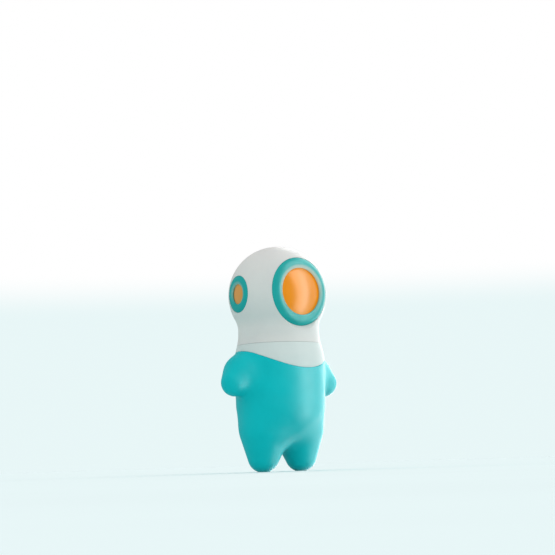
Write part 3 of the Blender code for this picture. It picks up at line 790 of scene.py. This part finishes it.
def body_skin(inset, voxel, top):
    """The body from primitives, fused, evened out, and pulled onto the smooth skin, as a bmesh."""
    rough = bmesh.new()
    trunk = WAIST_R - inset
    add_limb(rough, (0.0, 0.0, WAIST_Z), (0.0, 0.0, WAIST_Z + 14.0), trunk, trunk)
    for side in (1.0, -1.0):
        mirror = Vector((side, 1.0, 1.0))
        add_limb(rough, Vector(FOOT) * mirror, Vector(HIP) * mirror, FOOT_R - inset, HIP_R - inset)
        add_limb(rough, Vector(SHOULDER) * mirror, Vector(HAND) * mirror, SHOULDER_R - inset, HAND_R - inset)
    bmesh.ops.create_cone(
        rough,
        cap_ends=True,
        segments=96,
        radius1=trunk * MM,
        radius2=(NECK_R - inset) * MM,
        depth=(top - WAIST_Z) * MM,
        matrix=shift(0.0, 0.0, (WAIST_Z + top) / 2),
    )
    mesh = bpy.data.meshes.new("rough")
    rough.to_mesh(mesh)
    rough.free()
    source = bpy.data.objects.new("rough", mesh)
    bpy.context.scene.collection.objects.link(source)
    fuse = source.modifiers.new("Fuse", "REMESH")
    fuse.mode = "VOXEL"
    fuse.voxel_size = voxel * MM
    bpy.context.view_layer.update()
    fused = bpy.data.meshes.new_from_object(source.evaluated_get(bpy.context.evaluated_depsgraph_get()))
    bpy.data.objects.remove(source)
    shape = bmesh.new()
    shape.from_mesh(fused)
    for _ in range(3):
        for _ in range(3):
            bmesh.ops.smooth_vert(
                shape, verts=shape.verts, factor=0.5, use_axis_x=True, use_axis_y=True, use_axis_z=True
            )
        pull_to_skin(shape, inset, top)
    return shape


def bib_height(x, y):
    """Height of the collar's lower edge, by the direction from the axis."""
    reach = min(abs(math.degrees(math.atan2(x, -y))) / BIB_HALF_ANGLE, 1.0)
    return BIB_Z - BIB_DROP * 0.5 * (1.0 + math.cos(math.pi * reach))


def cut_at_bib(shape, below):
    """Cuts the body along a line that far below the bib line, and returns the edges of the cut."""
    for vertex in shape.verts:
        vertex.co.z -= bib_height(vertex.co.x, vertex.co.y) * MM
    geometry = shape.verts[:] + shape.edges[:] + shape.faces[:]
    level = Vector((0.0, 0.0, -below * MM))
    bmesh.ops.bisect_plane(
        shape, geom=geometry, dist=0.2 * MM, plane_co=level, plane_no=(0.0, 0.0, 1.0), clear_outer=True
    )
    for vertex in shape.verts:
        vertex.co.z += bib_height(vertex.co.x, vertex.co.y) * MM
    return [edge for edge in shape.edges if edge.is_boundary]


def extrude_rim(shape, edges, inward, up):
    """One more ring of faces at an open rim, moved towards the axis and up."""
    made = bmesh.ops.extrude_edge_only(shape, edges=edges)["geom"]
    for vertex in (item for item in made if isinstance(item, bmesh.types.BMVert)):
        radial = Vector((vertex.co.x, vertex.co.y, 0.0)).normalized()
        vertex.co += radial * -inward * MM + Vector((0.0, 0.0, up * MM))
    return [item for item in made if isinstance(item, bmesh.types.BMEdge)]


def cut_soles(shape):
    """Flat soles with a rounded edge, on the plane that the toy stands on."""
    edge = 0.3
    geometry = shape.verts[:] + shape.edges[:] + shape.faces[:]
    level = (0.0, 0.0, edge * MM)
    bmesh.ops.bisect_plane(
        shape, geom=geometry, dist=0.05 * MM, plane_co=level, plane_no=(0.0, 0.0, -1.0), clear_outer=True
    )
    rim = [item for item in shape.edges if item.is_boundary and item.verts[0].co.z < 2 * edge * MM]
    centre = Vector((FOOT[0] * MM, 0.0, 0.0))
    for inward, drop in ((0.12, 0.20), (0.25, 0.10)):
        made = bmesh.ops.extrude_edge_only(shape, edges=rim)["geom"]
        for vertex in (item for item in made if isinstance(item, bmesh.types.BMVert)):
            foot = centre if vertex.co.x > 0 else -centre
            aside = (foot - vertex.co) * Vector((1.0, 1.0, 0.0))
            vertex.co += aside.normalized() * inward * MM
            vertex.co.z -= drop * MM
        rim = [item for item in made if isinstance(item, bmesh.types.BMEdge)]
    bmesh.ops.holes_fill(shape, edges=rim, sides=0)


def make_suit():
    outside = body_skin(0.0, SKIN_VOXEL, SKIN_TOP)
    cut_soles(outside)
    rim = [edge for edge in cut_at_bib(outside, FIT / 2 + 0.18) if edge.verts[0].co.z > WAIST_Z * MM]
    for inward, up in ((0.03, 0.08), (0.06, 0.06), (0.10, 0.04), (1.2, 0.0)):
        rim = extrude_rim(outside, rim, inward, up)
    mesh = bpy.data.meshes.new("suit_outside")
    outside.to_mesh(mesh)
    outside.free()

    inside = body_skin(SUIT_WALL, LINING_VOXEL, SKIN_TOP)
    cut_at_bib(inside, FIT / 2 + 0.3)
    bmesh.ops.reverse_faces(inside, faces=inside.faces)
    inside.from_mesh(mesh)
    open_edges = [edge for edge in inside.edges if edge.is_boundary]
    bmesh.ops.bridge_loops(inside, edges=open_edges)
    inside.to_mesh(mesh)
    inside.free()
    add_piece("suit_shell", cut(mesh, pin_holes()), "torso", "suit")


# ---- collar ----


def collar_section(bib):
    """The collar's closed section where its lower edge is at this height."""
    top = SEAM_Z - FIT / 2
    edge = bib + FIT / 2
    outer = [(float(trunk_radius(top)) - EDGE_BREAK, top)]
    start = top - EDGE_BREAK
    steps = 14
    for i in range(steps + 1):
        z = start + (edge + 0.18 - start) * i / steps
        outer.append((float(trunk_radius(z)), z))
    low = float(trunk_radius(edge))
    outer += [(low - 0.03, edge + 0.09), (low - 0.09, edge + 0.03), (low - 0.18, edge)]
    sleeve = [
        (SLEEVE_R, edge),
        (SLEEVE_R, SLEEVE_END + 0.3),
        (SLEEVE_R - 0.3, SLEEVE_END),
        (SLEEVE_BORE, SLEEVE_END),
        (SLEEVE_BORE, SHELF_Z - SHELF_THICK),
        (SHELF_BORE, SHELF_Z - SHELF_THICK),
        (SHELF_BORE, SHELF_Z),
        (SLEEVE_BORE, SHELF_Z),
        (SLEEVE_BORE, SOCKET_FLOOR - 0.2),
        (SLEEVE_BORE + 0.2, SOCKET_FLOOR),
        (SOCKET_R, SOCKET_FLOOR),
        (SOCKET_R, top - 2.4),
        (SOCKET_R + 0.5, top - 1.9),
        (SOCKET_R + 0.5, top - 0.2),
        (SOCKET_R + 0.7, top),
    ]
    return outer + sleeve


def make_collar():
    segments = 192
    verts = []
    for i in range(segments):
        angle = 2 * math.pi * i / segments
        x, y = math.cos(angle), math.sin(angle)
        verts += [(r * x * MM, r * y * MM, z * MM) for r, z in collar_section(bib_height(x, y))]
    row = len(verts) // segments
    faces = []
    for i in range(segments):
        here = i * row
        there = (i + 1) % segments * row
        for j in range(row):
            k = (j + 1) % row
            faces.append((here + j, here + k, there + k, there + j))
    mesh = bpy.data.meshes.new("collar")
    mesh.from_pydata(verts, [], faces)
    holes = pin_holes() + screw_holes(TUB_SCREW_R, TUB_SCREW_ANGLES, SHELF_Z - 6.0, SHELF_Z + 5.0)
    add_piece("collar_shell", cut(finished(mesh), holes), "torso", "collar")


# ---- battery pod ----


def make_screw(node, body, place, shank):
    """A pan-head screw with a cross recess and a threaded shank."""
    crown = 2.8
    head = arc((0.0, SCREW_HEAD - crown), crown, 90.0, 66.0, 5)
    head += [(SCREW_HEAD_R, 0.75), (SCREW_HEAD_R, 0.0), (SCREW_R, 0.0)]
    thread = []
    for i in range(int(shank / SCREW_PITCH)):
        z = -0.3 - i * SCREW_PITCH
        thread += [(SCREW_R, z), (SCREW_R - 0.18, z - 0.22)]
    mesh = lathe_mesh(node, head + thread + [(SCREW_R - 0.2, -shank), (0.0, -shank - 0.5)], False, 48)
    recess = [block((1.5, 0.3, 1.0), shift(0.0, 0.0, 1.2)), block((0.3, 1.5, 1.0), shift(0.0, 0.0, 1.2))]
    add_piece(node, cut(mesh, recess), body, "screw_steel", place)


def make_tub():
    floor = TUB_BOTTOM + TUB_FLOOR
    flange_z = FLANGE_TOP - FLANGE_THICK
    boss_end = TUB_BOTTOM - BOSS_LENGTH
    rod_hole = ROD_R + GAP
    profile = [
        (0.0, floor),
        (TUB_BORE, floor),
        (TUB_BORE, FLANGE_TOP),
        (FLANGE_R, FLANGE_TOP),
        (FLANGE_R, flange_z),
        (TUB_R, flange_z),
        (TUB_R, TUB_BOTTOM),
        (BOSS_R, TUB_BOTTOM),
        (BOSS_R, boss_end),
        (rod_hole, boss_end),
        (rod_hole, TUB_BOTTOM - 1.0),
        (0.0, TUB_BOTTOM - 1.0),
    ]
    mesh = lathe_mesh("battery_tub", rounded(profile, 0.25, False), False, 144)
    holes = screw_holes(TUB_SCREW_R, TUB_SCREW_ANGLES, FLANGE_TOP - 6.0, FLANGE_TOP + 3.0)
    holes += screw_holes(CAP_SCREW_R, CAP_SCREW_ANGLES, FLANGE_TOP - 1.3, FLANGE_TOP + 3.0)
    add_piece("battery_tub", cut(mesh, holes), "torso", "pod")
    ring("tub_gasket", SHELF_BORE + 0.2, TUB_SCREW_R - 1.5, SHELF_Z + GAP, flange_z - GAP, "torso", "seal_rubber")
    for i, angle in enumerate(TUB_SCREW_ANGLES, start=1):
        make_screw(f"tub_screw_{i}", "torso", around(TUB_SCREW_R, angle, FLANGE_TOP + GAP), 5.4)


def make_cap():
    seat = FLANGE_TOP + GAP
    plug = TUB_BORE - 0.4
    profile = [
        (0.0, CAP_TOP),
        (CAP_R, CAP_TOP),
        (CAP_R, seat),
        (plug, seat),
        (plug, seat - 3.8),
        (plug - 1.5, seat - 3.8),
        (plug - 1.5, seat - 1.2),
        (0.0, seat - 1.2),
    ]
    mesh = lathe_mesh("battery_cap", rounded(profile, 0.25, False), False, 144)
    holes = screw_holes(CAP_SCREW_R, CAP_SCREW_ANGLES, FLANGE_TOP - 4.0, CAP_TOP + 3.0)
    add_piece("battery_cap", cut(mesh, holes), "cap", "pod")
    for i, angle in enumerate(CAP_SCREW_ANGLES, start=1):
        make_screw(f"cap_screw_{i}", "cap", around(CAP_SCREW_R, angle, CAP_TOP + GAP), 2.6)


def make_light():
    board = CAP_TOP + GAP
    disc("led_board", BOARD_R, board, board + 1.0, "cap", "circuit_board", fillet=0.1, segments=144)
    top = board + 1.0 + GAP
    lamp_r = 2.5
    lamp = arc((0.0, top + 5.2), lamp_r, 90.0, 0.0, 12)
    lamp += [(lamp_r, top + 1.0), (2.9, top + 1.0), (2.9, top), (0.0, top)]
    turned("led_lamp", lamp, "cap", "lamp", closed=False)
    low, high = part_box("control_chip")
    centre = (low + high) / 2 / MM
    size = (high - low) / MM
    chip = chamfered_block("control_chip", size, 0.25)
    add_piece("control_chip", chip, "cap", "chip", shift(centre.x, centre.y - AXIS_Y, centre.z))
    spring = board + 5.0
    inner = DOME_R - DOME_WALL
    dome = arc((0.0, spring), DOME_R, 90.0, 0.0, 24) + [(DOME_R, board), (inner, board)]
    dome += arc((0.0, spring), inner, 0.0, 90.0, 20)
    turned("light_dome", dome, "cap", "diffuser", closed=False, fillet=0.2, segments=144)


def chamfered_block(name, size, chamfer):
    mesh = block(size)
    shape = bmesh.new()
    shape.from_mesh(mesh)
    bmesh.ops.bevel(shape, geom=shape.edges[:], offset=chamfer * MM, segments=3, profile=0.6, affect="EDGES")
    shape.to_mesh(mesh)
    shape.free()
    mesh.name = name
    return finished(mesh)


def make_cells():
    floor = TUB_BOTTOM + TUB_FLOOR + GAP
    contact_r = TUB_BORE - 1.3
    disc("lower_contact", contact_r, floor, floor + CONTACT_THICK, "torso", "contact")
    base = floor + CONTACT_THICK + GAP
    spacing = (2 * CELL_R + GAP) / math.sqrt(3.0)
    height = CELL_HEIGHT
    profile = [
        (0.0, height),
        (CELL_R - 1.4, height),
        (CELL_R - 1.1, height - 0.6),
        (CELL_R - 0.9, height - 0.9),
        (CELL_R - 0.3, height - 0.7),
        (CELL_R, height - 1.0),
        (CELL_R, 0.0),
        (0.0, 0.0),
    ]
    for i in range(3):
        place = around(spacing, 30.0 + 120.0 * i, base)
        turned(f"button_cell_{i + 1}", profile, "torso", "cell", place, False, 0.25, 72)
    top = base + CELL_HEIGHT + GAP
    disc("upper_contact", contact_r, top, top + CONTACT_THICK, "cap", "contact")


# ---- water contacts and ballast ----


def pin_frame(x):
    return axis_frame((0.0, 1.0, 0.0), (x, 0.0, PIN_Z))


def make_pin(side, x):
    place = pin_frame(x)
    head = 27.0
    shaft_r = 1.0
    tip = 15.9
    profile = arc((0.0, head - 2.0), 2.8, 90.0, 52.0, 6)
    profile += [(1.9, head + 0.1), (1.9, head), (shaft_r, head), (shaft_r, tip + 0.2), (shaft_r - 0.2, tip), (0.0, tip)]
    turned(f"sensor_pin_{side}", profile, "torso", "stainless", place, False, 0.08, 48)
    ring(f"sensor_washer_{side}", shaft_r + GAP, 2.2, 18.2, 19.1, "torso", "seal_rubber", place, segments=48)
    hex_nut(f"sensor_nut_{side}", shaft_r + GAP, 2.3, 16.2, 17.9, "torso", place)


def hex_nut(node, bore, outer, bottom, top, body, place=None):
    """A hexagonal nut with chamfered corners and a round bore."""
    hexagon = lathe_mesh(node, [(0.0, top), (outer, top), (outer, bottom), (0.0, bottom)], False, 6)
    slope = 0.5 * (1 - math.cos(math.pi / 6)) * outer + 0.1
    crown = [(0.0, top), (outer * 0.86, top), (outer, top - slope), (outer, bottom + slope)]
    crown += [(outer * 0.86, bottom), (0.0, bottom)]
    mesh = cut(hexagon, [lathe_mesh("crown", crown, False, 72)], "INTERSECT")
    mesh = cut(mesh, [cylinder(bore, bottom - 1.0, top + 1.0, Matrix(), 40)])
    add_piece(node, mesh, body, "stainless", place)


def make_ballast():
    low = BALLAST_LOW
    nut = low - GAP
    disc("ballast_rod", ROD_R, nut - 2.6, TUB_BOTTOM - 1.0 - GAP, "torso", "stainless", fillet=0.2, segments=48)
    hole = ROD_R + GAP
    section = [(hole, BALLAST_TOP), (BALLAST_R, BALLAST_TOP), (BALLAST_R, low), (hole, low)]
    turned("ballast_weight", section, "torso", "ballast", fillet=1.0, segments=128)
    hex_nut("ballast_nut", ROD_R + GAP, 3.6, nut - 1.8, nut, "torso")


# ---- camera, floor and light ----


def make_camera():
    """Camera at the photographed angle, with the figure a little below the middle of the picture."""
    angle = math.radians(CAMERA_AZIMUTH)
    back = Vector((math.sin(angle), -math.cos(angle), 0.0))
    aside = Vector((math.cos(angle), math.sin(angle), 0.0)) * CAMERA_ASIDE + Vector((0.0, AXIS_Y, 0.0))
    place = back * CAMERA_DISTANCE + aside + Vector((0.0, 0.0, CAMERA_HEIGHT))
    aim = aside + Vector((0.0, 0.0, AIM_HEIGHT)) - place
    data = bpy.data.cameras.new("camera")
    data.sensor_width = 36.0
    data.lens = 36.0 * aim.length / FRAME_WIDTH
    data.clip_start = 0.05
    data.clip_end = 200.0
    camera = bpy.data.objects.new("camera", data)
    turn = aim.to_track_quat("-Z", "Y").to_matrix().to_4x4()
    roll = Matrix.Rotation(math.radians(CAMERA_ROLL), 4, "Z")
    camera.matrix_world = Matrix.Translation(place * MM) @ turn @ roll
    bpy.context.scene.collection.objects.link(camera)
    bpy.context.scene.camera = camera


def ray_kind(nodes, kind):
    return nodes.new("ShaderNodeLightPath").outputs[kind]


def make_floor():
    """A wide pale floor that throws up cyan light, as clear water does, and lets the sheen of the panels through."""
    mesh = bpy.data.meshes.new("floor")
    shape = bmesh.new()
    bmesh.ops.create_circle(shape, cap_ends=True, segments=96, radius=FLOOR_R)
    shape.to_mesh(mesh)
    shape.free()
    floor = bpy.data.objects.new("floor", mesh)
    floor.location = (0.0, 0.0, -FLOOR_DROP)
    bpy.context.scene.collection.objects.link(floor)
    finish = Finish("pale_floor")
    mottle = finish.ramp(finish.noise(6.0), FLOOR_TINT, tuple(0.985 * c for c in FLOOR_TINT))
    finish.link(finish.mix(ray_kind(finish.nodes, "Is Camera Ray"), WATER_BOUNCE, mottle), "Base Color")
    finish.set(Roughness=0.9, Specular_IOR_Level=0.0)
    mesh.materials.append(finish.material)
    floor.visible_glossy = False
    floor.visible_shadow = False


class Sky:
    """The surround: one even light per kind of ray, each shaded by the direction that it comes from."""

    def __init__(self):
        world = bpy.data.worlds.new("studio")
        world.use_nodes = True
        bpy.context.scene.world = world
        self.nodes = world.node_tree.nodes
        self.links = world.node_tree.links
        self.way = self.nodes.new("ShaderNodeTexCoord").outputs["Generated"]
        self.shown = self.nodes["Background"].outputs["Background"]

    def facing(self, direction, at, strengths):
        """A number that goes between these strengths as the ray turns towards a direction."""
        dot = self.nodes.new("ShaderNodeVectorMath")
        dot.operation = "DOT_PRODUCT"
        dot.inputs[1].default_value = direction
        self.links.new(self.way, dot.inputs[0])
        spread = self.nodes.new("ShaderNodeMapRange")
        spread.interpolation_type = "SMOOTHSTEP"
        spread.inputs["From Min"].default_value, spread.inputs["From Max"].default_value = at
        spread.inputs["To Min"].default_value, spread.inputs["To Max"].default_value = strengths
        self.links.new(dot.outputs["Value"], spread.inputs["Value"])
        return spread.outputs["Result"]

    def above_floor(self, strength):
        """This strength, but none below the horizon, where the floor is."""
        height = self.facing((0.0, 0.0, 1.0), (-0.01, 0.01), (0.0, 1.0))
        product = self.nodes.new("ShaderNodeMath")
        product.operation = "MULTIPLY"
        self.links.new(strength, product.inputs[0])
        self.links.new(height, product.inputs[1])
        return product.outputs["Value"]

    def light(self, strength):
        """Even white light of this strength."""
        back = self.nodes.new("ShaderNodeBackground")
        back.inputs["Color"].default_value = (1.0, 1.0, 1.0, 1.0)
        self.links.new(strength, back.inputs["Strength"])
        return back.outputs["Background"]

    def tinted(self, share, low, high):
        """Light of unit strength whose colour goes from low to high."""
        blend = self.nodes.new("ShaderNodeMix")
        blend.data_type = "RGBA"
        self.links.new(share, blend.inputs["Factor"])
        blend.inputs[6].default_value = (*low, 1.0)
        blend.inputs[7].default_value = (*high, 1.0)
        back = self.nodes.new("ShaderNodeBackground")
        self.links.new(blend.outputs[2], back.inputs["Color"])
        return back.outputs["Background"]

    def use(self, light, kind=None):
        """Shows this light to one kind of ray, over what was there."""
        if kind:
            choose = self.nodes.new("ShaderNodeMixShader")
            self.links.new(ray_kind(self.nodes, kind), choose.inputs["Fac"])
            self.links.new(self.shown, choose.inputs[1])
            self.links.new(light, choose.inputs[2])
            light = choose.outputs["Shader"]
        self.shown = light
        self.links.new(light, self.nodes["World Output"].inputs["Surface"])


def towards(azimuth, rise=0.0):
    """A direction round the figure: 0 is its front, 90 its left side."""
    angle = math.radians(azimuth)
    return Vector((math.sin(angle), -math.cos(angle), rise))


def make_world():
    """Bright and even, softer on the side away from the key; white above the waterline and pale below it."""
    sky = Sky()
    ambient = sky.facing(towards(SKY_AZIMUTH, 0.1), (-1.0, 1.0), SKY_STRENGTHS)
    sky.use(sky.light(sky.above_floor(ambient)))
    room = sky.facing(-towards(CAMERA_AZIMUTH, -0.15), (-0.3, 0.7), ROOM_STRENGTHS)
    sky.use(sky.light(room), "Is Glossy Ray")
    waterline = sky.facing((0.0, 0.0, 1.0), HORIZON, (0.0, 1.0))
    sky.use(sky.tinted(waterline, PALE_WATER, (1.0, 1.0, 1.0)), "Is Camera Ray")


def add_panel(name, azimuth, height, size, radiance):
    """A soft rectangular light that stands round the toy, faces it, and shows as a sheen only."""
    data = bpy.data.lights.new(name, "AREA")
    data.shape = "RECTANGLE"
    data.size, data.size_y = size
    data.energy = radiance * math.pi * size[0] * size[1]
    lamp = bpy.data.objects.new(name, data)
    place = towards(azimuth) * PANEL_DISTANCE + Vector((0.0, 0.0, height))
    aim = Vector((0.0, 0.0, PANEL_AIM)) - place
    lamp.matrix_world = Matrix.Translation(place) @ aim.to_track_quat("-Z", "Y").to_matrix().to_4x4()
    lamp.visible_camera = False
    lamp.visible_diffuse = False
    bpy.context.scene.collection.objects.link(lamp)


def make_lights():
    bpy.context.scene.view_settings.view_transform = "Standard"
    add_panel("key_panel", **KEY)
    add_panel("fill_panel", **FILL)


materials = make_materials()
make_helmet()
for port_name, port_place in PORTS.items():
    make_port(port_name, *port_place)
make_neck_seal()
make_collar()
make_suit()
make_tub()
make_cap()
make_light()
make_cells()
for side_name, side_x in (("left", PIN_X), ("right", -PIN_X)):
    make_pin(side_name, side_x)
make_ballast()
make_floor()
make_world()
make_lights()
make_camera()
